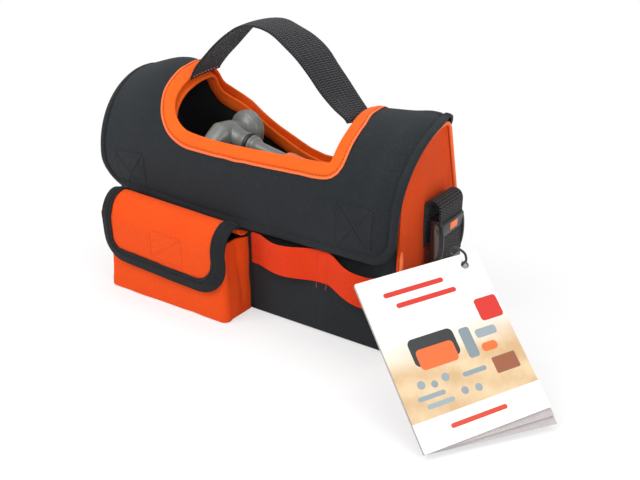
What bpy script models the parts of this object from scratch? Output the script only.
"""Toy tool bag: a cloth box with a lifting cover, a webbing handle and a front pocket.

Metres, +Z up, +X to the end with the hang tag, -Y to the front. The origin is the
middle of the underside. Cloth pieces are laid out on the body's outer face by their
place along the bag (x) and their run up the front, over the ridge and down the back.
"""
import math

import bmesh
import bpy
from mathutils import Matrix, Vector
from mathutils.geometry import delaunay_2d_cdt

# Cloth and gaps
GAP = 0.0003
LAYER_GAP = 0.0006
CROWN_GAP = 0.0011
RIM_GAP = 0.0009
PANEL_CLOTH = 0.0018
LINING_CLOTH = 0.0006
COVER_CLOTH = 0.0022
TAPE_CLOTH = 0.0007
PATCH_CLOTH = 0.0007
OVERRUN = 0.0010

# Pattern grid on the body's outer face
FRONT_ROWS = 12
RIDGE_ROWS = 5
GRID_LEFT = -0.150
GRID_CROWN_RIGHT = -0.078
GRID_RIGHT = 0.132
CROWN_COLUMNS = 7
PLAIN_COLUMNS = 11
CORNER_STEPS = 5
EDGE_MARGIN = 0.0022

# Body
BODY_LENGTH = 0.290
BODY_DEPTH = 0.100
SHOULDER_HEIGHT = 0.110
FRONT_RADIUS = 0.062
RIDGE_RADIUS = 0.009
KNEE_HEIGHT = 0.075
BASE_THICKNESS = 0.0025
BASE_CORNER_RADIUS = 0.004
GUSSET_THICKNESS = 0.0020
PIPING_RADIUS = 0.0015
CROWN_LIFT = 0.018
CROWN_X = -0.110
CROWN_WIDTH = 0.050
RIDGE_SAG = 0.0054
RIDGE_SAG_WIDTH = 0.150
LEAN_LEFT = -0.004
LEAN_LEFT_X = -0.088
LEAN_RIGHT = 0.004
LEAN_RIGHT_X = 0.086
LEAN_WIDTH = 0.025
LEAN_DROP = 0.040

# Openings of the body and the cover, at the ridge and at the front rim
BODY_OPENING_LEFT = -0.0850
BODY_OPENING_RIGHT = 0.0785
BODY_RIM_HEIGHT = 0.133
COVER_OPENING_LEFT = -0.0865
COVER_OPENING_RIGHT = 0.0815
COVER_RIM_HEIGHT = 0.140
LEFT_CORNER_RADIUS = 0.028
RIGHT_CORNER_RADIUS = 0.004
SIDE_STEP = 0.002
BACK_RIM_LOW = 0.114
BODY_RIM_SET_DOWN = 0.004
RIM_TAPE_WIDTH = 0.010
COVER_TAPE_WIDTH = 0.011

# Cover
COVER_LEFT = -0.162
COVER_RIGHT = 0.1505
COVER_LEFT_TUCK = 0.019
COVER_RIGHT_TUCK = 0.0075
COVER_BACK_TUCK = 0.0100
COVER_BACK_TUCK_RUN = 0.020
COVER_HEM_LEFT = 0.085
COVER_HEM_MIDDLE = 0.0760
COVER_HEM_RIGHT = 0.0745
COVER_LEFT_CORNER_RADIUS = 0.014
COVER_RIGHT_CORNER_RADIUS = 0.021
COVER_SEAM_HEIGHT = 0.092
FOLD_AXIS_RISE = 0.0005
HOOK_PATCH_SIZE = 0.036
HOOK_PATCH_LEFT_X = -0.124
HOOK_PATCH_RIGHT_X = 0.112
HOOK_PATCH_HEIGHT = 0.100

# Front pocket
POCKET_LEFT = -0.131
POCKET_RIGHT = 0.004
POCKET_DEPTH = 0.033
POCKET_HEIGHT = 0.067
POCKET_FOOT = 0.0010
POCKET_CLOTH = 0.0018
POCKET_CORNER_RADIUS = 0.008
POCKET_BULGE = 0.0025
POCKET_FLAP_LEFT = -0.1302
POCKET_FLAP_RIGHT = 0.0065
POCKET_FLAP_ROUTE = (
    (0.0128, 0.0830),
    (0.0155, 0.0855),
    (0.0205, 0.0868),
    (0.0270, 0.0848),
    (0.0332, 0.0785),
    (0.0368, 0.0690),
    (0.0375, 0.0610),
    (0.0375, 0.0280),
)
POCKET_FLAP_FALL_SHARE = 0.05
POCKET_ROOT_ROUTE = (
    (0.0005, 0.0725),
    (0.0060, 0.0728),
    (0.0110, 0.0760),
    (0.0123, 0.0812),
)
POCKET_FLAP_LEFT_RADIUS = 0.020
POCKET_FLAP_RIGHT_RADIUS = 0.030
POCKET_TAPE_WIDTH = 0.008
POCKET_PATCH_SIZE = 0.023
POCKET_PATCH_X = -0.062
POCKET_PATCH_HEIGHT = 0.0515

# Tool panel and its loops
TOOL_PANEL_LEFT = 0.009
TOOL_PANEL_RIGHT = 0.139
TOOL_PANEL_HEIGHT = 0.052
TOOL_PANEL_CLOTH = 0.0012
LOOP_BAND_LOW = 0.046
LOOP_BAND_WIDTH = 0.0275
LOOP_BAND_CLOTH = 0.0015
LOOP_SEAM_X = (0.0095, 0.0135, 0.0740, 0.0840, 0.1330, 0.1370)
LOOP_BULGES = (0.009, 0.014)
LOOP_DROOPS = (0.0, 0.005)

# Carry handle
HANDLE_WIDTH = 0.036
HANDLE_CLOTH = 0.0018
HANDLE_Y = 0.004
HANDLE_LEAN_SHARE = 0.20
HANDLE_LEAN_FADE = 0.060
HANDLE_ROUTE = (
    (-0.0802, 0.1800),
    (-0.0790, 0.1862),
    (-0.0732, 0.1962),
    (-0.0637, 0.2059),
    (-0.0518, 0.2163),
    (-0.0392, 0.2256),
    (-0.0246, 0.2310),
    (-0.0091, 0.2316),
    (0.0059, 0.2271),
    (0.0197, 0.2196),
    (0.0323, 0.2103),
    (0.0430, 0.1988),
    (0.0534, 0.1870),
    (0.0640, 0.1762),
    (0.0732, 0.1668),
    (0.0746, 0.1590),
)

# End straps and buckles
STRAP_WIDTH = 0.032
STRAP_CLOTH = 0.0016
STRAP_Y = 0.001
STRAP_FOOT_HEIGHT = 0.008
STRAP_SEAM_LENGTH = 0.008
STRAP_RISE_HEIGHT = 0.038
STRAP_TOP_SEAM_HEIGHT = 0.084
STRAP_TURN_HEIGHT = 0.104
BUCKLE_WIDTH = 0.038
BUCKLE_THICKNESS = 0.0095
BUCKLE_STANDOFF = 0.0070
BUCKLE_EDGE_RADIUS = 0.0016
SOCKET_FOOT = 0.0700
SOCKET_HEIGHT = 0.0270
SOCKET_CAVITY_DEPTH = 0.0180
SOCKET_SLOT_DEPTH = 0.0080
SOCKET_WALL = 0.0035
SOCKET_WINDOW_HEIGHT = 0.0090
PLUG_FOOT = 0.0580
PLUG_BASE_HEIGHT = 0.0116
PLUG_WALL = 0.0010
PRONG_LENGTH = 0.0170
PRONG_WIDTH = 0.0042
PRONG_CLEARANCE = 0.0006
STRAP_CLEARANCE = 0.0004

# Hang tag, by its upper left corner at rest and its lie
TAG_CORNER = (0.1383, -0.1025, 0.0815)
TAG_WIDTH = 0.0949
TAG_HEIGHT = 0.1174
TAG_TURN = math.radians(57.2)
TAG_ROLL = math.radians(5.4)
TAG_RECLINE = math.radians(48.4)
TAG_CARD = 0.0005
TAG_LEAF_SPREAD = math.radians(9.0)
TAG_HOLE_RADIUS = 0.0030
TAG_HOLE_INSET = 0.0125
TAG_HOLE_DROP = 0.0084
TIE_RADIUS = 0.0009
TIE_AT_STRAP = (
    (0.1680, -0.0175, 0.0620),
    (0.1590, -0.0205, 0.0430),
    (0.1530, -0.0183, 0.0325),
    (0.1490, -0.0152, 0.0297),
    (0.1490, 0.0010, 0.0300),
    (0.1490, 0.0168, 0.0300),
    (0.1530, 0.0196, 0.0325),
    (0.1600, 0.0215, 0.0400),
    (0.1665, 0.0190, 0.0520),
    (0.1685, 0.0070, 0.0680),
    (0.1745, -0.0150, 0.0840),
)
TIE_AT_TAG = (
    (-0.0040, 0.0130, -0.0040),
    (-0.0030, 0.0130, 0.0040),
    (-0.0010, 0.0060, 0.0085),
    (0.0, 0.0018, 0.0050),
    (0.0, 0.0017, 0.0005),
    (0.0, 0.0016, -0.0200),
)
TIE_STEPS = 3

# Toy hammer
HAMMER_HUB = (-0.0444, -0.0123, 0.1382)
HAMMER_TURN = math.radians(-6.0)
HAMMER_DIP = math.radians(10.0)
HAMMER_ROLL = math.radians(-1.0)
HEAD_DEPTH = 0.022
SOCKET_NECK_LENGTH = 0.013
SOCKET_NECK_RADIUS = 0.0092
POLL_RADIUS = 0.0128
NECK_RADIUS = 0.0085
POLL_LENGTH = 0.012
NECK_LENGTH = 0.005
CLAW_LENGTH = 0.017
CLAW_DROP = 0.008
CLAW_NOTCH = 0.006
COLLAR_RADIUS = 0.0085
COLLAR_LENGTH = 0.007
RING_RADIUS = 0.0098
RING_LENGTH = 0.003
SHAFT_RADIUS = 0.0055
SHAFT_LENGTH = 0.038
GRIP_RADIUS = 0.0088
GRIP_LENGTH = 0.090
ROUND_SIDES = 16

MATERIALS = {
    "orange_cloth": ((0.80, 0.16, 0.03), 0.85, 0.0),
    "black_cloth": ((0.022, 0.024, 0.027), 0.85, 0.0),
    "lining_cloth": ((0.012, 0.012, 0.014), 0.90, 0.0),
    "orange_tape": ((0.88, 0.20, 0.03), 0.70, 0.0),
    "black_webbing": ((0.020, 0.020, 0.021), 0.75, 0.0),
    "hook_tape": ((0.015, 0.015, 0.016), 0.95, 0.0),
    "buckle_plastic": ((0.012, 0.012, 0.013), 0.35, 0.0),
    "grey_plastic": ((0.20, 0.20, 0.21), 0.40, 0.0),
    "orange_plastic": ((0.82, 0.17, 0.04), 0.40, 0.0),
    "card": ((0.86, 0.86, 0.84), 0.45, 0.0),
    "elastic": ((0.010, 0.010, 0.010), 0.80, 0.0),
}


# Body profile: a straight front, a quarter round, a tight ridge, a sloped back and a straight foot
RIDGE_Y = FRONT_RADIUS - BODY_DEPTH / 2
RIDGE_HEIGHT = SHOULDER_HEIGHT + FRONT_RADIUS
RIDGE_CENTRE = Vector((RIDGE_Y, RIDGE_HEIGHT - RIDGE_RADIUS))
KNEE = Vector((BODY_DEPTH / 2, KNEE_HEIGHT))
KNEE_FROM_CENTRE = KNEE - RIDGE_CENTRE
BACK_ANGLE = math.acos(RIDGE_RADIUS / KNEE_FROM_CENTRE.length) + math.atan2(KNEE_FROM_CENTRE.y, KNEE_FROM_CENTRE.x)
BACK_NORMAL = Vector((math.cos(BACK_ANGLE), math.sin(BACK_ANGLE)))
BACK_TOP = RIDGE_CENTRE + RIDGE_RADIUS * BACK_NORMAL
FRONT_ARC_RUN = FRONT_RADIUS * math.pi / 2
RIDGE_RUN = SHOULDER_HEIGHT + FRONT_ARC_RUN
BACK_TOP_RUN = RIDGE_RUN + RIDGE_RADIUS * (math.pi / 2 - BACK_ANGLE)
KNEE_RUN = BACK_TOP_RUN + (KNEE - BACK_TOP).length
FULL_RUN = KNEE_RUN + KNEE_HEIGHT


def profile(run):
    """The profile's point and outward normal, as (y, z), at a run from the front's foot."""
    if run <= SHOULDER_HEIGHT:
        return Vector((-BODY_DEPTH / 2, run)), Vector((-1, 0))
    if run <= RIDGE_RUN:
        angle = math.pi - (run - SHOULDER_HEIGHT) / FRONT_RADIUS
        normal = Vector((math.cos(angle), math.sin(angle)))
        return Vector((RIDGE_Y, SHOULDER_HEIGHT)) + FRONT_RADIUS * normal, normal
    if run <= BACK_TOP_RUN:
        angle = math.pi / 2 - (run - RIDGE_RUN) / RIDGE_RADIUS
        normal = Vector((math.cos(angle), math.sin(angle)))
        return RIDGE_CENTRE + RIDGE_RADIUS * normal, normal
    if run <= KNEE_RUN:
        down = Vector((BACK_NORMAL.y, -BACK_NORMAL.x))
        return BACK_TOP + (run - BACK_TOP_RUN) * down, BACK_NORMAL
    return Vector((BODY_DEPTH / 2, FULL_RUN - run)), Vector((1, 0))


def bell(value, middle, width):
    return math.exp(-((value - middle) / width) ** 2)


def ease(share):
    share = min(max(share, 0), 1)
    return share * share * (3 - 2 * share)


def on_body(x, run, rise=0):
    """A point at a height `rise` over the body's outer face, with the crowned left hood."""
    point, normal = profile(run)
    y, z = point + rise * normal
    if z > SHOULDER_HEIGHT:
        crown = CROWN_LIFT * bell(x, CROWN_X, CROWN_WIDTH) - RIDGE_SAG * bell(x, 0, RIDGE_SAG_WIDTH)
        z = SHOULDER_HEIGHT + (z - SHOULDER_HEIGHT) * (1 + crown / FRONT_RADIUS)
    lean = 0
    if SHOULDER_HEIGHT < run < RIDGE_RUN:
        fade = ease((RIDGE_RUN - run) / LEAN_DROP) * ease((run - SHOULDER_HEIGHT) / LEAN_DROP * 2)
        lean = LEAN_LEFT * bell(x, LEAN_LEFT_X, LEAN_WIDTH) + LEAN_RIGHT * bell(x, LEAN_RIGHT_X, LEAN_WIDTH)
        lean *= fade
    return Vector((x + lean, y, z))


def front_run(height):
    """The run at which the front reaches a height, before the crown's lift."""
    if height <= SHOULDER_HEIGHT:
        return height
    return SHOULDER_HEIGHT + FRONT_RADIUS * math.asin((height - SHOULDER_HEIGHT) / FRONT_RADIUS)


def back_run(height):
    """The run at which the sloped back comes down to a height."""
    return BACK_TOP_RUN + (BACK_TOP.y - height) / math.cos(BACK_ANGLE)


def between(start, end, count):
    """Evenly spaced values from start to end, both included."""
    return [start + (end - start) * step / (count - 1) for step in range(count)]


def front_rim(left, right, height):
    """The front rim of an opening as (x, run), from the ridge at its left to the ridge at its right."""
    low = front_run(height)
    start = left + SIDE_STEP
    end = right - SIDE_STEP
    points = [(left, RIDGE_RUN)]
    for angle in between(0, math.pi / 2, CORNER_STEPS):
        points.append((start + LEFT_CORNER_RADIUS * (1 - math.cos(angle)),
                       low + LEFT_CORNER_RADIUS * (1 - math.sin(angle))))
    for angle in between(math.pi / 2, 0, CORNER_STEPS):
        points.append((end - RIGHT_CORNER_RADIUS * (1 - math.cos(angle)),
                       low + RIGHT_CORNER_RADIUS * (1 - math.sin(angle))))
    points.append((right, RIDGE_RUN))
    return points


# Back rim of the openings: share of the opening's length, and share of the fall from ridge to lowest
BACK_RIM_SHARES = (
    (0.000, 0.00),
    (0.003, 0.06),
    (0.006, 0.12),
    (0.009, 0.16),
    (0.016, 0.193),
    (0.026, 0.220),
    (0.040, 0.2375),
    (0.058, 0.246),
    (0.080, 0.254),
    (0.150, 0.275),
    (0.210, 0.32),
    (0.260, 0.42),
    (0.335, 0.56),
    (0.433, 0.72),
    (0.538, 0.90),
    (0.626, 0.98),
    (0.720, 1.00),
    (0.860, 0.98),
    (0.930, 0.86),
    (0.970, 0.62),
    (0.992, 0.25),
    (0.995, 0.17),
    (1.000, 0.00),
)


def back_rim(left, right, set_down):
    """The back rim of an opening as (x, run), from the ridge at its left to the ridge at its right."""
    fall = back_run(BACK_RIM_LOW) - RIDGE_RUN
    points = []
    for along_share, fall_share in BACK_RIM_SHARES:
        extra = set_down * ease(fall_share / BACK_RIM_SHARES[2][1])
        points.append((left + (right - left) * along_share, RIDGE_RUN + fall * fall_share + extra))
    return points


# The pattern grid: runs and places along the bag at which every laid cloth has its points
GRID_RUNS = between(SHOULDER_HEIGHT, RIDGE_RUN, FRONT_ROWS)[:-1] + between(RIDGE_RUN, BACK_TOP_RUN, RIDGE_ROWS)
GRID_RUNS.append(KNEE_RUN)
GRID_XS = between(GRID_LEFT, GRID_CROWN_RIGHT, CROWN_COLUMNS) + between(GRID_CROWN_RIGHT, GRID_RIGHT, PLAIN_COLUMNS)[1:]


def on_grid(path, closed):
    """A path with a point added wherever it crosses a line of the pattern grid."""
    result = []
    following = path[1:] + path[:1] if closed else path[1:]
    for (x0, r0), (x1, r1) in zip(path, following):
        shares = [0]
        shares += [(run - r0) / (r1 - r0) for run in GRID_RUNS if min(r0, r1) < run < max(r0, r1)]
        if max(r0, r1) > SHOULDER_HEIGHT:
            shares += [(x - x0) / (x1 - x0) for x in GRID_XS if min(x0, x1) < x < max(x0, x1)]
        shares.sort()
        last = -1
        length = math.hypot(x1 - x0, r1 - r0)
        for share in shares:
            apart = (share - last) * length
            if share == 0 or (apart > OVERRUN and (1 - share) * length > OVERRUN):
                result.append((x0 + (x1 - x0) * share, r0 + (r1 - r0) * share))
                last = share
    if not closed:
        result.append(path[-1])
    return result


BODY_FRONT_RIM = front_rim(BODY_OPENING_LEFT, BODY_OPENING_RIGHT, BODY_RIM_HEIGHT)
BODY_BACK_RIM = back_rim(BODY_OPENING_LEFT, BODY_OPENING_RIGHT, BODY_RIM_SET_DOWN)
COVER_FRONT_RIM = front_rim(COVER_OPENING_LEFT, COVER_OPENING_RIGHT, COVER_RIM_HEIGHT)
COVER_BACK_RIM = back_rim(COVER_OPENING_LEFT, COVER_OPENING_RIGHT, 0)

# Layers, as heights over the body's outer face
LINING_RISE = -(PANEL_CLOTH + LAYER_GAP)
LINING_INNER = LINING_RISE - LINING_CLOTH
RIM_TAPE_INNER = LINING_INNER - LAYER_GAP - TAPE_CLOTH
RIM_TAPE_OUTER = LAYER_GAP + TAPE_CLOTH
COVER_TAPE_INNER = RIM_TAPE_OUTER + RIM_GAP
COVER_INNER = COVER_TAPE_INNER + TAPE_CLOTH + LAYER_GAP
COVER_OUTER = COVER_INNER + COVER_CLOTH
COVER_TAPE_OUTER = COVER_OUTER + CROWN_GAP + TAPE_CLOTH


def make_material(name):
    color, roughness, metallic = MATERIALS[name]
    material = bpy.data.materials.new(name)
    material.use_nodes = True
    shader = material.node_tree.nodes["Principled BSDF"]
    shader.inputs["Base Color"].default_value = (*color, 1)
    shader.inputs["Roughness"].default_value = roughness
    shader.inputs["Metallic"].default_value = metallic
    return material


def add_object(name, bm, material, smooth=True):
    mesh = bpy.data.meshes.new(name)
    bmesh.ops.recalc_face_normals(bm, faces=bm.faces)
    bm.to_mesh(mesh)
    bm.free()
    mesh.materials.append(bpy.data.materials[material])
    if smooth:
        mesh.shade_smooth()
        mesh.set_sharp_from_angle(angle=math.radians(40))
    obj = bpy.data.objects.new(name, mesh)
    bpy.context.scene.collection.objects.link(obj)
    return obj


def carry(parent_name, location, children):
    """An empty on a joint's axis that carries the pieces that move with it."""
    empty = bpy.data.objects.new(parent_name, None)
    empty.location = location
    bpy.context.scene.collection.objects.link(empty)
    for child in children:
        child.parent = empty
        child.matrix_parent_inverse = Matrix.Translation(location).inverted()
    return empty


def wall(name, outer, inner, material):
    """A closed wall between two grids of points of the same size."""
    bm = bmesh.new()
    skins = [[[bm.verts.new(point) for point in column] for column in grid] for grid in (outer, inner)]
    columns = len(outer)
    rows = len(outer[0])
    for skin in skins:
        for i in range(columns - 1):
            for j in range(rows - 1):
                bm.faces.new((skin[i][j], skin[i + 1][j], skin[i + 1][j + 1], skin[i][j + 1]))
    border = [(i, 0) for i in range(columns)]
    border += [(columns - 1, j) for j in range(1, rows)]
    border += [(i, rows - 1) for i in range(columns - 2, -1, -1)]
    border += [(0, j) for j in range(rows - 2, 0, -1)]
    for (i0, j0), (i1, j1) in zip(border, border[1:] + border[:1]):
        bm.faces.new((skins[0][i0][j0], skins[0][i1][j1], skins[1][i1][j1], skins[1][i0][j0]))
    return add_object(name, bm, material)


def inside(point, outline):
    """Whether a pattern point lies inside an outline and clear of its edge."""
    within = False
    place = Vector(point)
    for a, b in zip(outline, outline[1:] + outline[:1]):
        along = Vector(b) - Vector(a)
        share = min(max((place - Vector(a)).dot(along) / along.length_squared, 0), 1)
        if (Vector(a) + along * share - place).length < EDGE_MARGIN:
            return False
        if (a[1] > point[1]) != (b[1] > point[1]):
            if point[0] < a[0] + (point[1] - a[1]) / (b[1] - a[1]) * (b[0] - a[0]):
                within = not within
    return within


def cloth(name, pattern, outer_rise, inner_rise, material, place=on_body):
    """A sheet cut to an outline of (x, run) and laid on the body between two heights over its face."""
    outline = on_grid(pattern, True)
    count = len(outline)
    points = outline + [(x, run) for x in GRID_XS for run in GRID_RUNS if inside((x, run), outline)]
    flat = delaunay_2d_cdt([Vector(point) for point in points], [], [list(range(count))], 1, OVERRUN / 100)
    bm = bmesh.new()
    skins = []
    for rise in (outer_rise, inner_rise):
        skins.append([bm.verts.new(place(point.x, point.y, rise)) for point in flat[0]])
    uses = {}
    for face in flat[2]:
        bm.faces.new([skins[0][index] for index in face])
        bm.faces.new([skins[1][index] for index in reversed(face)])
        for a, b in zip(face, face[1:] + face[:1]):
            uses.setdefault(frozenset((a, b)), []).append((a, b))
    for pairs in uses.values():
        if len(pairs) == 1:
            a, b = pairs[0]
            bm.faces.new((skins[0][b], skins[0][a], skins[1][a], skins[1][b]))
    return add_object(name, bm, material)


def patch_pattern(x, run, size):
    half = size / 2
    return [(x - half, run - half), (x + half, run - half), (x + half, run + half), (x - half, run + half)]


def tape(name, path, closed, width, top, bottom, material, place=on_body):
    """A binding folded over a cloth's edge: a hooked section swept along a path of (x, run).

    The cloth lies to the left of the path. `top` and `bottom` are the tape's outer faces.
    """
    edge = LAYER_GAP + TAPE_CLOTH
    half = width / 2
    upper = top - TAPE_CLOTH
    lower = bottom + TAPE_CLOTH
    section = [(width, top), (half, top), (-edge, top), (-edge, bottom), (half, bottom), (width, bottom),
               (width, lower), (half, lower), (-LAYER_GAP, lower), (-LAYER_GAP, upper), (half, upper), (width, upper)]
    count = len(path)
    bm = bmesh.new()
    rings = []
    for index, (x, run) in enumerate(path):
        here = Vector((x, run))
        before = Vector(path[index - 1]) if closed or index else here
        after = Vector(path[(index + 1) % count]) if closed or index < count - 1 else here
        side = Vector((0, 0))
        for along in (here - before, after - here):
            if along.length:
                along.normalize()
                side += Vector((-along.y, along.x))
        side.normalize()
        rings.append([bm.verts.new(place(x + side.x * reach, run + side.y * reach, rise))
                      for reach, rise in section])
    pairs = list(zip(rings, rings[1:]))
    if closed:
        pairs.append((rings[-1], rings[0]))
    size = len(section)
    for ring, following in pairs:
        for k in range(size):
            bm.faces.new((ring[k], ring[(k + 1) % size], following[(k + 1) % size], following[k]))
    if not closed:
        for ring in (rings[0], rings[-1]):
            for corners in ((0, 1, 10, 11), (1, 2, 9, 10), (2, 3, 8, 9), (3, 4, 7, 8), (4, 5, 6, 7)):
                bm.faces.new([ring[k] for k in corners])
    return add_object(name, bm, material)


def box(name, low, high, material, radius=0, segments=2):
    """A block between two corners, its upright edges rounded where a radius is given."""
    bm = bmesh.new()
    bmesh.ops.create_cube(bm, size=1)
    size = Vector(high) - Vector(low)
    centre = (Vector(high) + Vector(low)) / 2
    bmesh.ops.scale(bm, vec=size, verts=bm.verts)
    bmesh.ops.translate(bm, vec=centre, verts=bm.verts)
    if radius:
        upright = [edge for edge in bm.edges if abs(edge.verts[0].co.z - edge.verts[1].co.z) > size.z / 2]
        bmesh.ops.bevel(bm, geom=upright, offset=radius, segments=segments, affect="EDGES", profile=0.5)
    return add_object(name, bm, material, smooth=False)


def ribbon(name, route, half_width, thickness, y, material, mirror=1):
    """A webbing strip: a route of (x, z) with its width along Y."""
    outer = []
    inner = []
    for index, (x, z) in enumerate(route):
        before = Vector(route[max(index - 1, 0)])
        after = Vector(route[min(index + 1, len(route) - 1)])
        along = (after - before).normalized()
        normal = Vector((-along.y, along.x)) * thickness / 2
        for side, grid in ((1, outer), (-1, inner)):
            px = (x + side * normal.x) * mirror
            pz = z + side * normal.y
            grid.append([Vector((px, y - half_width, pz)), Vector((px, y + half_width, pz))])
    return wall(name, outer, inner, material)


def smooth_route(points, steps):
    """Points on a smooth curve through a route's own points."""
    result = []
    count = len(points)
    for index in range(count - 1):
        p0 = Vector(points[max(index - 1, 0)])
        p1 = Vector(points[index])
        p2 = Vector(points[index + 1])
        p3 = Vector(points[min(index + 2, count - 1)])
        for step in range(steps):
            t = step / steps
            result.append(0.5 * (2 * p1 + (p2 - p0) * t + (2 * p0 - 5 * p1 + 4 * p2 - p3) * t ** 2
                                 + (3 * p1 - p0 - 3 * p2 + p3) * t ** 3))
    result.append(Vector(points[-1]))
    return result


def tube(name, points, radius, material, cyclic=False, sides=6):
    """A round cord along a list of points."""
    count = len(points)
    bm = bmesh.new()
    rings = []
    facing = None
    for index, place in enumerate(points):
        before = points[index - 1] if cyclic or index else place
        after = points[(index + 1) % count] if cyclic or index < count - 1 else place
        along = (after - before).normalized()
        facing = along.orthogonal() if facing is None else facing - along * facing.dot(along)
        facing.normalize()
        third = along.cross(facing)
        rings.append([place + radius * (facing * math.cos(a) + third * math.sin(a))
                      for a in between(0, 2 * math.pi, sides + 1)[:-1]])
    shift = 0
    if cyclic:
        shift = min(range(sides), key=lambda k: (rings[-1][0] - rings[0][k]).length)
    verts = [[bm.verts.new(point) for point in ring] for ring in rings]
    pairs = [(ring, following, 0) for ring, following in zip(verts, verts[1:])]
    if cyclic:
        pairs.append((verts[-1], verts[0], shift))
    for ring, following, turn in pairs:
        for k in range(sides):
            bm.faces.new((ring[k], ring[(k + 1) % sides], following[(k + 1 + turn) % sides],
                          following[(k + turn) % sides]))
    if not cyclic:
        bm.faces.new(verts[0])
        bm.faces.new(verts[-1])
    return add_object(name, bm, material)


def cut(obj, cutter_name, bm):
    """Take a shape out of an object with a Boolean that stays on it."""
    mesh = bpy.data.meshes.new(cutter_name)
    bmesh.ops.recalc_face_normals(bm, faces=bm.faces)
    bm.to_mesh(mesh)
    bm.free()
    cutter = bpy.data.objects.new(cutter_name, mesh)
    cutter.hide_render = True
    cutter.display_type = "WIRE"
    cutter.matrix_world = obj.matrix_world
    bpy.context.scene.collection.objects.link(cutter)
    modifier = obj.modifiers.new(cutter_name, "BOOLEAN")
    modifier.operation = "DIFFERENCE"
    modifier.object = cutter
    return cutter


def block(low, high):
    bm = bmesh.new()
    bmesh.ops.create_cube(bm, size=1)
    bmesh.ops.scale(bm, vec=Vector(high) - Vector(low), verts=bm.verts)
    bmesh.ops.translate(bm, vec=(Vector(high) + Vector(low)) / 2, verts=bm.verts)
    return bm


PANEL_END = BODY_LENGTH / 2 - GUSSET_THICKNESS - GAP
PANEL_FOOT = BASE_THICKNESS + GAP


def front_pattern(end, foot, rim, set_back):
    """A front's outline: from its foot at the left, along the foot, and back over the hoods and rim."""
    top = RIDGE_RUN - set_back
    rim = [(x, min(run, top)) for x, run in rim]
    return [(-end, foot), (end, foot), (end, top)] + rim[::-1] + [(-end, top)]


def back_pattern(end, foot, rim, set_back):
    top = RIDGE_RUN + set_back
    rim = [(x, max(run, top)) for x, run in rim]
    return [(-end, top)] + rim + [(end, top), (end, foot), (-end, foot)]


def make_body():
    seam = GAP / 2
    front = front_pattern(PANEL_END, PANEL_FOOT, BODY_FRONT_RIM, seam)
    cloth("front_panel", front, 0, -PANEL_CLOTH, "black_cloth")
    back = back_pattern(PANEL_END, FULL_RUN - PANEL_FOOT, BODY_BACK_RIM, seam)
    cloth("back_panel", back, 0, -PANEL_CLOTH, "black_cloth")
    box("base_panel", (-BODY_LENGTH / 2, -BODY_DEPTH / 2, 0), (BODY_LENGTH / 2, BODY_DEPTH / 2, BASE_THICKNESS),
        "black_cloth", BASE_CORNER_RADIUS)
    rim = on_grid(BODY_BACK_RIM[:-1] + BODY_FRONT_RIM[:0:-1], True)
    tape("rim_binding", rim, True, RIM_TAPE_WIDTH, RIM_TAPE_OUTER, RIM_TAPE_INNER, "orange_tape")


def make_lining():
    end = PANEL_END - LINING_CLOTH - GAP
    foot = PANEL_FOOT + LINING_CLOTH + GAP
    front = front_pattern(end, foot, BODY_FRONT_RIM, GAP)
    cloth("lining_front", front, LINING_RISE, LINING_INNER, "lining_cloth")
    back = back_pattern(end, FULL_RUN - foot, BODY_BACK_RIM, GAP)
    cloth("lining_back", back, LINING_RISE, LINING_INNER, "lining_cloth")
    half = BODY_DEPTH / 2 + LINING_RISE
    box("lining_floor", (-end, -half, PANEL_FOOT), (end, half, PANEL_FOOT + LINING_CLOTH), "lining_cloth")
    for side, name in ((1, "lining_right_end"), (-1, "lining_left_end")):
        end_plate(name, side * PANEL_END, side * (end + GAP), LINING_RISE, PANEL_FOOT, "lining_cloth")


def end_outline(x, rise, foot):
    """The end's outline at x as points from the front's foot over the ridge to the back's foot."""
    runs = [foot] + GRID_RUNS + [FULL_RUN - foot]
    points = []
    for run in runs:
        place = on_body(x, run, rise)
        points.append(Vector((x, place.y, place.z)))
    return points


def end_plate(name, x_outer, x_inner, rise, foot, material):
    bm = bmesh.new()
    face = bm.faces.new([bm.verts.new(point) for point in end_outline(x_outer, rise, foot)])
    made = bmesh.ops.extrude_face_region(bm, geom=[face])
    moved = [item for item in made["geom"] if isinstance(item, bmesh.types.BMVert)]
    bmesh.ops.translate(bm, vec=(x_inner - x_outer, 0, 0), verts=moved)
    return add_object(name, bm, material, smooth=False)


def make_ends():
    half = BODY_LENGTH / 2
    piping_x = half + GAP + PIPING_RADIUS
    for side, end in ((1, "right"), (-1, "left")):
        end_plate(end + "_gusset", side * half, side * (half - GUSSET_THICKNESS), 0, PANEL_FOOT, "orange_cloth")
        outline = end_outline(side * half, -PIPING_RADIUS, PANEL_FOOT)
        points = [Vector((side * piping_x, point.y, point.z)) for point in outline]
        tube(end + "_piping", points, PIPING_RADIUS, "orange_tape")


def cover_edge(x, run):
    """Where a cover column lies: the ends are drawn in towards the hem."""
    left_share = ease((COVER_OPENING_LEFT - x) / (COVER_OPENING_LEFT - COVER_LEFT))
    right_share = ease((x - COVER_OPENING_RIGHT) / (COVER_RIGHT - COVER_OPENING_RIGHT))
    if run < RIDGE_RUN:
        low_share = 1 - ease((run - COVER_HEM_RIGHT) / (SHOULDER_HEIGHT - COVER_HEM_RIGHT))
        fall_share = 1 - ease((run - COVER_HEM_RIGHT) / (RIDGE_RUN - COVER_HEM_RIGHT))
        x += left_share * COVER_LEFT_TUCK * low_share
        x -= right_share * COVER_RIGHT_TUCK * fall_share
    else:
        x -= right_share * COVER_BACK_TUCK * ease((run - RIDGE_RUN) / COVER_BACK_TUCK_RUN)
    return x


def on_cover(x, run, rise):
    return on_body(cover_edge(x, run), run, rise)


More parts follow.
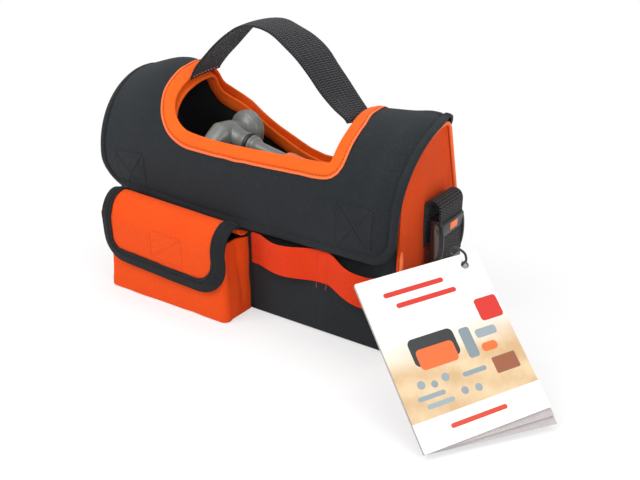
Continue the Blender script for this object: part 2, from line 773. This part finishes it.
def cover_hem():
    """The cover's front hem as (x, run) from right to left, falling gently to the right, with round corners."""
    radius = COVER_RIGHT_CORNER_RADIUS
    points = [(COVER_RIGHT - radius * (1 - math.cos(a)), COVER_HEM_RIGHT + radius * (1 - math.sin(a)))
              for a in between(0, math.pi / 2, CORNER_STEPS)]
    points.append(((COVER_LEFT + COVER_RIGHT) / 2, COVER_HEM_MIDDLE))
    radius = COVER_LEFT_CORNER_RADIUS
    points += [(COVER_LEFT + radius * (1 - math.cos(a)), COVER_HEM_LEFT + radius * (1 - math.sin(a)))
               for a in between(math.pi / 2, 0, CORNER_STEPS)]
    return points


def make_cover():
    top = RIDGE_RUN - GAP
    rim = [(x, min(run, top)) for x, run in COVER_FRONT_RIM]
    pattern = [(COVER_LEFT, top)] + rim + [(COVER_RIGHT, top)] + cover_hem()
    front = cloth("cover_front", pattern, COVER_OUTER, COVER_INNER, "black_cloth", on_cover)
    top = RIDGE_RUN + GAP
    hem = back_run(COVER_SEAM_HEIGHT)
    rim = [(x, max(run, top)) for x, run in COVER_BACK_RIM]
    pattern = [(COVER_LEFT, top)] + rim + [(COVER_RIGHT, top), (COVER_RIGHT, hem), (COVER_LEFT, hem)]
    cloth("cover_back", pattern, COVER_OUTER, COVER_INNER, "black_cloth", on_cover)

    front_rim_path = square_ends([(x, run - GAP) for x, run in COVER_FRONT_RIM[::-1]])
    back_rim_path = square_ends([(x, run + GAP) for x, run in COVER_BACK_RIM])
    front_tape = tape("cover_binding_front", on_grid(front_rim_path, False), False, COVER_TAPE_WIDTH,
                      COVER_TAPE_OUTER, COVER_TAPE_INNER, "orange_tape", on_cover)
    tape("cover_binding_back", on_grid(back_rim_path, False), False, COVER_TAPE_WIDTH,
         COVER_TAPE_OUTER, COVER_TAPE_INNER, "orange_tape", on_cover)

    hooks = []
    for end, x in (("left", HOOK_PATCH_LEFT_X), ("right", HOOK_PATCH_RIGHT_X)):
        pattern = patch_pattern(x, HOOK_PATCH_HEIGHT, HOOK_PATCH_SIZE)
        cloth("loop_patch_" + end, pattern, GAP + PATCH_CLOTH, GAP, "hook_tape")
        inner = COVER_INNER - GAP
        hooks.append(cloth("hook_patch_" + end, pattern, inner, inner - PATCH_CLOTH, "hook_tape"))
    axis = on_body(CROWN_X, RIDGE_RUN, COVER_TAPE_OUTER + FOLD_AXIS_RISE)
    carry("cover_fold_axis", axis, [front, front_tape] + hooks)


def square_ends(path):
    """A path whose first and last steps run straight up or down, so that its ends are square to the ridge."""
    first = (path[0][0], path[0][1] + (path[1][1] - path[0][1]) / 4)
    last = (path[-1][0], path[-1][1] + (path[-2][1] - path[-1][1]) / 4)
    return [path[0], first] + path[1:-1] + [last, path[-1]]


def make_pocket():
    front = -BODY_DEPTH / 2 - POCKET_DEPTH
    back = -BODY_DEPTH / 2 - GAP

    def outline(inset, height):
        """The pocket's three upright sides in plan, swelling gently half way up."""
        share = height / POCKET_HEIGHT
        swell = POCKET_BULGE * math.sin(math.pi * min(max(share, 0), 1))
        left = POCKET_LEFT + inset
        right = POCKET_RIGHT - inset
        face = front + inset
        radius = POCKET_CORNER_RADIUS - inset
        points = [(left, back), (left, (back + face) / 2)]
        points += [(left + radius * (1 - math.cos(a)), face + radius * (1 - math.sin(a)))
                   for a in between(0, math.pi / 2, 4)]
        points += [(x, face) for x in between(left + radius, right - radius, 5)[1:-1]]
        points += [(right - radius * (1 - math.cos(a)), face + radius * (1 - math.sin(a)))
                   for a in between(math.pi / 2, 0, 4)]
        points += [(right, (back + face) / 2), (right, back)]
        middle = (left + right) / 2
        result = []
        for x, y in points:
            across = 1 - ((x - middle) / (right - left) * 2) ** 2
            result.append(Vector((x, y + (POCKET_BULGE - swell) * across * (y < (back + face) / 2), height)))
        return result

    bm = bmesh.new()
    floor = POCKET_FOOT + POCKET_CLOTH
    rings = [outline(0, height) for height in between(POCKET_FOOT, POCKET_HEIGHT, 6)]
    rings += [outline(POCKET_CLOTH, height) for height in between(POCKET_HEIGHT, floor, 6)]
    verts = [[bm.verts.new(point) for point in ring] for ring in rings]
    for ring, following in zip(verts, verts[1:]):
        for k in range(len(ring) - 1):
            bm.faces.new((ring[k], ring[k + 1], following[k + 1], following[k]))
    bm.faces.new(verts[0])
    bm.faces.new(verts[-1])
    for column in (0, -1):
        edge = [ring[column] for ring in verts]
        count = len(edge)
        for k in range(count // 2 - 1):
            bm.faces.new((edge[k], edge[k + 1], edge[count - 2 - k], edge[count - 1 - k]))
    bm.faces.new((verts[0][0], verts[-1][0], verts[-1][-1], verts[0][-1]))
    add_object("pocket_body", bm, "orange_cloth")


def laid_route(route, steps):
    """A smooth route with, for each of its points, the run to it and the outward normal there."""
    points = smooth_route(route, steps)
    table = []
    run = 0
    for index, point in enumerate(points):
        if index:
            run += (point - points[index - 1]).length
        along = (points[min(index + 1, len(points) - 1)] - points[max(index - 1, 0)]).normalized()
        table.append((run, point, Vector((along.y, -along.x))))
    return table


def along_route(table, run):
    """The point and normal at a run on a laid route, straight on past its ends."""
    following = next((k for k in range(1, len(table)) if table[k][0] >= run), len(table) - 1)
    run0, point0, normal0 = table[following - 1]
    run1, point1, normal1 = table[following]
    share = (run - run0) / (run1 - run0)
    return point0.lerp(point1, share), normal0.lerp(normal1, min(max(share, 0), 1)).normalized()


POCKET_FLAP_STEPS = 2
POCKET_FLAP_COLUMNS = 5


def off_front(route):
    """A route given by its reach from the body's front and its height, as (y, z)."""
    return [(-BODY_DEPTH / 2 - reach, height) for reach, height in route]


def make_pocket_flap():
    table = laid_route(off_front(POCKET_FLAP_ROUTE), POCKET_FLAP_STEPS)
    full = table[-1][0]

    middle = (POCKET_FLAP_LEFT + POCKET_FLAP_RIGHT) / 2

    def place(x, run, rise):
        point, normal = along_route(table, run)
        y, z = point + rise * normal
        return Vector((x, y, z - POCKET_FLAP_FALL_SHARE * (x - middle)))

    def low(x):
        """How far the flap runs down at x, with its two round lower corners."""
        run = full
        for reach, radius in ((x - POCKET_FLAP_LEFT, POCKET_FLAP_LEFT_RADIUS),
                              (POCKET_FLAP_RIGHT - x, POCKET_FLAP_RIGHT_RADIUS)):
            if reach < radius:
                run -= radius - math.sqrt(max(radius ** 2 - (radius - reach) ** 2, 0))
        return run

    left = [POCKET_FLAP_LEFT + POCKET_FLAP_LEFT_RADIUS * (1 - math.cos(a))
            for a in between(0, math.pi / 2, CORNER_STEPS)]
    right = [POCKET_FLAP_RIGHT - POCKET_FLAP_RIGHT_RADIUS * (1 - math.cos(a))
             for a in between(math.pi / 2, 0, CORNER_STEPS)]
    xs = left + between(left[-1], right[0], POCKET_FLAP_COLUMNS)[1:-1] + right
    rows = [run for run, _, _ in table if run < full - POCKET_FLAP_RIGHT_RADIUS - OVERRUN]

    def column(x, rise):
        return [place(x, run, rise) for run in rows + between(rows[-1], low(x), 4)[1:]]

    flap = wall("pocket_flap", [column(x, 0) for x in xs], [column(x, -POCKET_CLOTH) for x in xs], "orange_cloth")

    path = [(POCKET_FLAP_LEFT, run) for run in rows]
    path += [(x, low(x)) for x in xs]
    path += [(POCKET_FLAP_RIGHT, run) for run in rows[::-1]]
    binding = tape("pocket_flap_binding", path[::-1], False, POCKET_TAPE_WIDTH, LAYER_GAP + TAPE_CLOTH,
                   -POCKET_CLOTH - LAYER_GAP - TAPE_CLOTH, "black_cloth", place)

    half = POCKET_PATCH_SIZE / 2
    face = -BODY_DEPTH / 2 - POCKET_DEPTH
    for name, reach in (("pocket_loop_patch", GAP), ("pocket_hook_patch", 2 * GAP + PATCH_CLOTH)):
        patch = box(name, (POCKET_PATCH_X - half, face - reach - PATCH_CLOTH, POCKET_PATCH_HEIGHT - half),
                    (POCKET_PATCH_X + half, face - reach, POCKET_PATCH_HEIGHT + half), "hook_tape")
    carry("pocket_flap_axis", Vector((middle, *off_front(POCKET_FLAP_ROUTE)[0])), [flap, binding, patch])

    root = laid_route(off_front(POCKET_ROOT_ROUTE), POCKET_FLAP_STEPS)
    grids = []
    for rise in (0, POCKET_CLOTH):
        grid = []
        for x in (POCKET_LEFT, POCKET_RIGHT):
            fall = POCKET_FLAP_FALL_SHARE * (x - middle) / root[-1][0]
            grid.append([Vector((x, *(point + normal * rise))) - Vector((0, 0, fall * run))
                         for run, point, normal in root])
        grids.append(grid)
    wall("pocket_flap_root", grids[0], grids[1], "orange_cloth")


def make_tool_loops():
    face = -BODY_DEPTH / 2 - GAP
    box("tool_panel", (TOOL_PANEL_LEFT, face - TOOL_PANEL_CLOTH, PANEL_FOOT),
        (TOOL_PANEL_RIGHT, face, TOOL_PANEL_HEIGHT), "black_cloth")
    stations = []
    seams = [LOOP_SEAM_X[0:2], LOOP_SEAM_X[2:4], LOOP_SEAM_X[4:6]]
    for number, (bulge, droop) in enumerate(zip(LOOP_BULGES, LOOP_DROOPS)):
        stations.append((seams[number][0], 0, 0))
        start = seams[number][1]
        end = seams[number + 1][0]
        for share in between(0, 1, 11):
            swell = math.sin(math.pi * share) ** 1.5
            stations.append((start + (end - start) * share, bulge * swell, droop * swell))
    stations.append((seams[2][1], 0, 0))

    base = face - TOOL_PANEL_CLOTH - GAP
    grids = []
    for depth in (LOOP_BAND_CLOTH, 0):
        grid = []
        for index, (x, bulge, droop) in enumerate(stations):
            before = stations[max(index - 1, 0)]
            after = stations[min(index + 1, len(stations) - 1)]
            along = Vector((after[0] - before[0], before[1] - after[1])).normalized()
            point = Vector((x, base - bulge)) + Vector((along.y, -along.x)) * depth
            low = LOOP_BAND_LOW - droop
            grid.append([Vector((point.x, point.y, low)), Vector((point.x, point.y, low + LOOP_BAND_WIDTH))])
        grids.append(grid)
    wall("tool_loop_band", grids[0], grids[1], "orange_cloth")


def make_handle():
    route = smooth_route(HANDLE_ROUTE, 2)
    handle = ribbon("carry_handle", [(p.x, p.y) for p in route], HANDLE_WIDTH / 2, HANDLE_CLOTH, HANDLE_Y,
                    "black_webbing")
    for vert in handle.data.vertices:
        lean = HANDLE_LEAN_SHARE * (1 - ease((vert.co.x - HANDLE_ROUTE[0][0]) / HANDLE_LEAN_FADE))
        vert.co.z += lean * (vert.co.y - HANDLE_Y)
    carry("handle_axis", Vector((HANDLE_ROUTE[0][0], HANDLE_Y, HANDLE_ROUTE[0][1])), [handle])


def make_end_strap(side, end):
    """One end's strap: both webbing pieces, the buckle's socket and its plug."""
    face = BODY_LENGTH / 2
    half = STRAP_CLOTH / 2
    flat = face + GAP + half
    socket_centre = face + BUCKLE_STANDOFF + BUCKLE_THICKNESS / 2
    turn = (socket_centre - flat) / 2
    slot_foot = SOCKET_FOOT + SOCKET_HEIGHT - SOCKET_SLOT_DEPTH
    route = [(flat, STRAP_TOP_SEAM_HEIGHT), (flat, STRAP_TURN_HEIGHT)]
    route += [(flat + turn * (1 - math.cos(a)), STRAP_TURN_HEIGHT + turn * math.sin(a))
              for a in between(0, math.pi, 9)[1:]]
    route.append((socket_centre, slot_foot + GAP))
    ribbon(end + "_strap_upper", route, STRAP_WIDTH / 2, STRAP_CLOTH, STRAP_Y, "black_webbing", side)

    sleeve = face + BUCKLE_STANDOFF + PLUG_WALL + STRAP_CLEARANCE + half
    seam_top = STRAP_FOOT_HEIGHT + STRAP_SEAM_LENGTH
    route = [(flat, STRAP_FOOT_HEIGHT)]
    route += [(flat + (sleeve - flat) * ease(share), seam_top + (STRAP_RISE_HEIGHT - seam_top) * share)
              for share in between(0, 1, 8)]
    route.append((sleeve, PLUG_FOOT + PLUG_BASE_HEIGHT - GAP))
    ribbon(end + "_strap_lower", route, STRAP_WIDTH / 2, STRAP_CLOTH, STRAP_Y, "black_webbing", side)

    def span(near, far, low_y, high_y, low_z, high_z):
        xs = sorted((side * (face + near), side * (face + far)))
        return (xs[0], STRAP_Y + low_y, low_z), (xs[1], STRAP_Y + high_y, high_z)

    near = BUCKLE_STANDOFF
    far = near + BUCKLE_THICKNESS
    wide = BUCKLE_WIDTH / 2
    strap_wide = STRAP_WIDTH / 2 + STRAP_CLEARANCE
    cavity_near = near + BUCKLE_THICKNESS / 2 - PRONG_WIDTH / 2
    cavity_far = cavity_near + PRONG_WIDTH
    cavity_wide = wide - SOCKET_WALL
    centre = socket_centre - face

    socket = box(end + "_buckle_socket", *span(near, far, -wide, wide, SOCKET_FOOT, SOCKET_FOOT + SOCKET_HEIGHT),
                 "buckle_plastic", BUCKLE_EDGE_RADIUS)
    cut(socket, end + "_cavity_cutter", block(*span(cavity_near, cavity_far, -cavity_wide, cavity_wide,
                                                   SOCKET_FOOT - OVERRUN, SOCKET_FOOT + SOCKET_CAVITY_DEPTH)))
    slot = half + STRAP_CLEARANCE
    cut(socket, end + "_slot_cutter", block(*span(centre - slot, centre + slot, -strap_wide, strap_wide,
                                                 slot_foot, SOCKET_FOOT + SOCKET_HEIGHT + OVERRUN)))
    window_low = SOCKET_FOOT + (SOCKET_CAVITY_DEPTH - SOCKET_WINDOW_HEIGHT) / 2
    cut(socket, end + "_window_cutter", block(*span(cavity_near + PRONG_CLEARANCE, cavity_far - PRONG_CLEARANCE,
                                                   -wide - OVERRUN, wide + OVERRUN,
                                                   window_low, window_low + SOCKET_WINDOW_HEIGHT)))

    base_top = PLUG_FOOT + PLUG_BASE_HEIGHT
    shapes = [(near, far, -wide, wide, PLUG_FOOT, base_top)]
    prong_low = base_top - OVERRUN
    prong_top = base_top + PRONG_LENGTH
    prong_near = cavity_near + PRONG_CLEARANCE
    prong_far = cavity_far - PRONG_CLEARANCE
    prong_wide = cavity_wide - PRONG_CLEARANCE
    shapes.append((prong_near, prong_far, -prong_wide, -prong_wide + PRONG_WIDTH, prong_low, prong_top))
    shapes.append((prong_near, prong_far, prong_wide - PRONG_WIDTH, prong_wide, prong_low, prong_top))
    shapes.append((prong_near, prong_far, -PRONG_WIDTH / 2, PRONG_WIDTH / 2, prong_low, prong_top))
    plug = box(end + "_buckle_plug", *span(*shapes[0]), "buckle_plastic", BUCKLE_EDGE_RADIUS)
    for number, shape in enumerate(shapes[1:], 1):
        join(plug, f"{end}_prong_{number}", block(*span(*shape)))
    sleeve_near = sleeve - face - half - STRAP_CLEARANCE
    sleeve_far = sleeve - face + half + STRAP_CLEARANCE
    cut(plug, end + "_sleeve_cutter", block(*span(sleeve_near, sleeve_far, -strap_wide, strap_wide,
                                                 PLUG_FOOT - OVERRUN, base_top + OVERRUN)))
    carry(end + "_buckle_axis", Vector((side * socket_centre, STRAP_Y, PLUG_FOOT)), [plug])


def join(obj, tool_name, bm):
    """Add a shape to an object with a Boolean that stays on it."""
    cutter = cut(obj, tool_name, bm)
    obj.modifiers[tool_name].operation = "UNION"
    return cutter


def tag_frame():
    """The tag's corner and its directions: along its width, up its face and out of it."""
    across = Vector((math.cos(TAG_TURN) * math.cos(TAG_ROLL), math.sin(TAG_TURN) * math.cos(TAG_ROLL),
                     math.sin(TAG_ROLL)))
    level = Vector((-math.sin(TAG_TURN), math.cos(TAG_TURN), 0))
    upright = across.cross(level)
    if upright.z < 0:
        upright = -upright
    up = (math.cos(TAG_RECLINE) * upright + math.sin(TAG_RECLINE) * level).normalized()
    out = across.cross(up).normalized()
    return Vector(TAG_CORNER), across, up, out


def card_leaf(name, corner, across, up, out, thickness):
    """A card leaf with a round hole near its upper right corner."""
    matrix = Matrix((across, -up, out)).transposed().to_4x4()
    matrix.translation = corner
    bm = bmesh.new()
    outline = [(0, 0), (TAG_WIDTH, 0), (TAG_WIDTH, TAG_HEIGHT), (0, TAG_HEIGHT)]
    centre = Vector((TAG_WIDTH - TAG_HOLE_INSET, TAG_HOLE_DROP))
    sides = 12
    hole = [centre + TAG_HOLE_RADIUS * Vector((math.cos(a), math.sin(a)))
            for a in between(0, 2 * math.pi, sides + 1)[:-1]]
    edges = []
    for loop in (outline, hole):
        verts = [bm.verts.new((x, y, 0)) for x, y in loop]
        edges += [bm.edges.new((verts[k], verts[(k + 1) % len(verts)])) for k in range(len(verts))]
    bmesh.ops.triangle_fill(bm, use_beauty=True, edges=edges)
    made = bmesh.ops.extrude_face_region(bm, geom=bm.faces[:])
    moved = [item for item in made["geom"] if isinstance(item, bmesh.types.BMVert)]
    bmesh.ops.translate(bm, vec=(0, 0, thickness), verts=moved)
    bmesh.ops.transform(bm, matrix=matrix, verts=bm.verts)
    return add_object(name, bm, "card", smooth=False)


def make_tag():
    corner, across, up, out = tag_frame()
    front = card_leaf("tag_front_leaf", corner, across, up, out, TAG_CARD)
    turn = Matrix.Rotation(TAG_LEAF_SPREAD, 3, up)
    rear_across = turn @ across
    rear_out = turn @ out
    rear_corner = corner - out * (GAP + TAG_CARD)
    rear = card_leaf("tag_rear_leaf", rear_corner, rear_across, up, rear_out, TAG_CARD)
    leaf_axis = carry("tag_leaf_axis", rear_corner, [rear])
    tag_axis = carry("tag_axis", corner, [front])
    leaf_axis.parent = tag_axis
    leaf_axis.matrix_parent_inverse = Matrix.Translation(corner).inverted()

    hole = corner + across * (TAG_WIDTH - TAG_HOLE_INSET) - up * TAG_HOLE_DROP
    route = [hole + across * along + up * rise + out * reach for along, rise, reach in TIE_AT_TAG]
    route += [Vector(point) for point in TIE_AT_STRAP]
    closed = smooth_route([route[-1]] + route + route[:2], TIE_STEPS)
    tube("tag_tie", closed[TIE_STEPS:-TIE_STEPS - 1], TIE_RADIUS, "elastic", cyclic=True)


def turned_mesh(profile_points, matrix, sides=ROUND_SIDES):
    """A turned solid from (distance along X, radius) pairs, closed at both ends."""
    bm = bmesh.new()
    rings = []
    for along, radius in profile_points:
        ring = []
        for k in range(sides):
            angle = 2 * math.pi * k / sides
            ring.append(bm.verts.new((along, radius * math.cos(angle), radius * math.sin(angle))))
        rings.append(ring)
    for ring, following in zip(rings, rings[1:]):
        for k in range(sides):
            bm.faces.new((ring[k], ring[(k + 1) % sides], following[(k + 1) % sides], following[k]))
    bm.faces.new(rings[0])
    bm.faces.new(rings[-1])
    bmesh.ops.transform(bm, matrix=matrix, verts=bm.verts)
    return bm


def turned(name, profile_points, material, matrix):
    return add_object(name, turned_mesh(profile_points, matrix), material)


def make_hammer():
    place = (Matrix.Translation(HAMMER_HUB) @ Matrix.Rotation(HAMMER_TURN, 4, "Z")
             @ Matrix.Rotation(HAMMER_DIP, 4, "Y") @ Matrix.Rotation(HAMMER_ROLL, 4, "X"))
    half = HEAD_DEPTH / 2
    poll_end = half + NECK_LENGTH + POLL_LENGTH
    edge = POLL_RADIUS / 6

    def section(y, half_x, half_z, drop):
        """A rounded section of the head across its own length, which runs along Y."""
        ring = []
        for k in range(ROUND_SIDES):
            angle = 2 * math.pi * k / ROUND_SIDES
            ring.append(Vector((half_x * math.cos(angle), y, half_z * math.sin(angle) - drop)))
        return ring

    claw_tip = -half - CLAW_LENGTH
    rings = []
    for share in between(0, 1, 6):
        y = claw_tip + CLAW_LENGTH * share
        bend = CLAW_DROP * (1 - share) ** 2
        rings.append(section(y, half * (0.55 + 0.45 * share), half * (0.22 + 0.78 * share ** 1.4), bend))
    rings.append(section(half, half, half, 0))
    rings.append(section(half + edge, NECK_RADIUS, NECK_RADIUS, 0))
    rings.append(section(half + NECK_LENGTH - edge, NECK_RADIUS, NECK_RADIUS, 0))
    rings.append(section(half + NECK_LENGTH, POLL_RADIUS, POLL_RADIUS, 0))
    rings.append(section(poll_end - edge, POLL_RADIUS, POLL_RADIUS, 0))
    rings.append(section(poll_end, POLL_RADIUS - edge, POLL_RADIUS - edge, 0))
    bm = bmesh.new()
    verts = [[bm.verts.new(point) for point in ring] for ring in rings]
    for ring, following in zip(verts, verts[1:]):
        for k in range(ROUND_SIDES):
            bm.faces.new((ring[k], ring[(k + 1) % ROUND_SIDES],
                          following[(k + 1) % ROUND_SIDES], following[k]))
    bm.faces.new(verts[0])
    bm.faces.new(verts[-1])
    bmesh.ops.transform(bm, matrix=place, verts=bm.verts)
    head = add_object("hammer_head", bm, "grey_plastic")
    notch = bmesh.new()
    tip = [Vector((-CLAW_NOTCH / 2, claw_tip - OVERRUN)), Vector((CLAW_NOTCH / 2, claw_tip - OVERRUN)),
           Vector((0, claw_tip + CLAW_LENGTH * 0.75))]
    low = [notch.verts.new((p.x, p.y, -half - CLAW_DROP)) for p in tip]
    high = [notch.verts.new((p.x, p.y, half)) for p in tip]
    notch.faces.new(low)
    notch.faces.new(high)
    for k in range(3):
        notch.faces.new((low[k], low[(k + 1) % 3], high[(k + 1) % 3], high[k]))
    bmesh.ops.transform(notch, matrix=place, verts=notch.verts)
    cut(head, "claw_notch_cutter", notch)

    neck = [(0, SHAFT_RADIUS), (half, NECK_RADIUS), (half + SOCKET_NECK_LENGTH, SOCKET_NECK_RADIUS)]
    join(head, "head_neck", turned_mesh(neck, place))
    start = half + SOCKET_NECK_LENGTH + GAP
    ring_end = start + RING_LENGTH
    ring = turned("hammer_ring", [(start, RING_RADIUS - edge), (start + edge / 2, RING_RADIUS),
                                  (ring_end - edge / 2, RING_RADIUS), (ring_end, RING_RADIUS - edge)],
                  "buckle_plastic", place)
    shaft_start = ring_end + GAP
    shaft_end = shaft_start + SHAFT_LENGTH
    collar = shaft_start + COLLAR_LENGTH
    shaft = turned("hammer_shaft", [(shaft_start, COLLAR_RADIUS), (collar, COLLAR_RADIUS),
                                    (collar + edge, SHAFT_RADIUS), (shaft_end, SHAFT_RADIUS)],
                   "grey_plastic", place)
    grip_start = shaft_end + GAP
    grip_end = grip_start + GRIP_LENGTH
    grip = turned("hammer_grip", [(grip_start, SHAFT_RADIUS), (grip_start + edge, GRIP_RADIUS - edge),
                                  (grip_start + GRIP_LENGTH / 2, GRIP_RADIUS), (grip_end - edge, GRIP_RADIUS),
                                  (grip_end, GRIP_RADIUS - edge)],
                  "orange_plastic", place)
    carry("hammer_axis", Vector(HAMMER_HUB), [head, ring, shaft, grip])


def main():
    for obj in list(bpy.data.objects):
        bpy.data.objects.remove(obj)
    for name in MATERIALS:
        make_material(name)
    make_body()
    make_lining()
    make_ends()
    make_cover()
    make_pocket()
    make_pocket_flap()
    make_tool_loops()
    make_handle()
    make_end_strap(1, "right")
    make_end_strap(-1, "left")
    make_tag()
    make_hammer()


main()
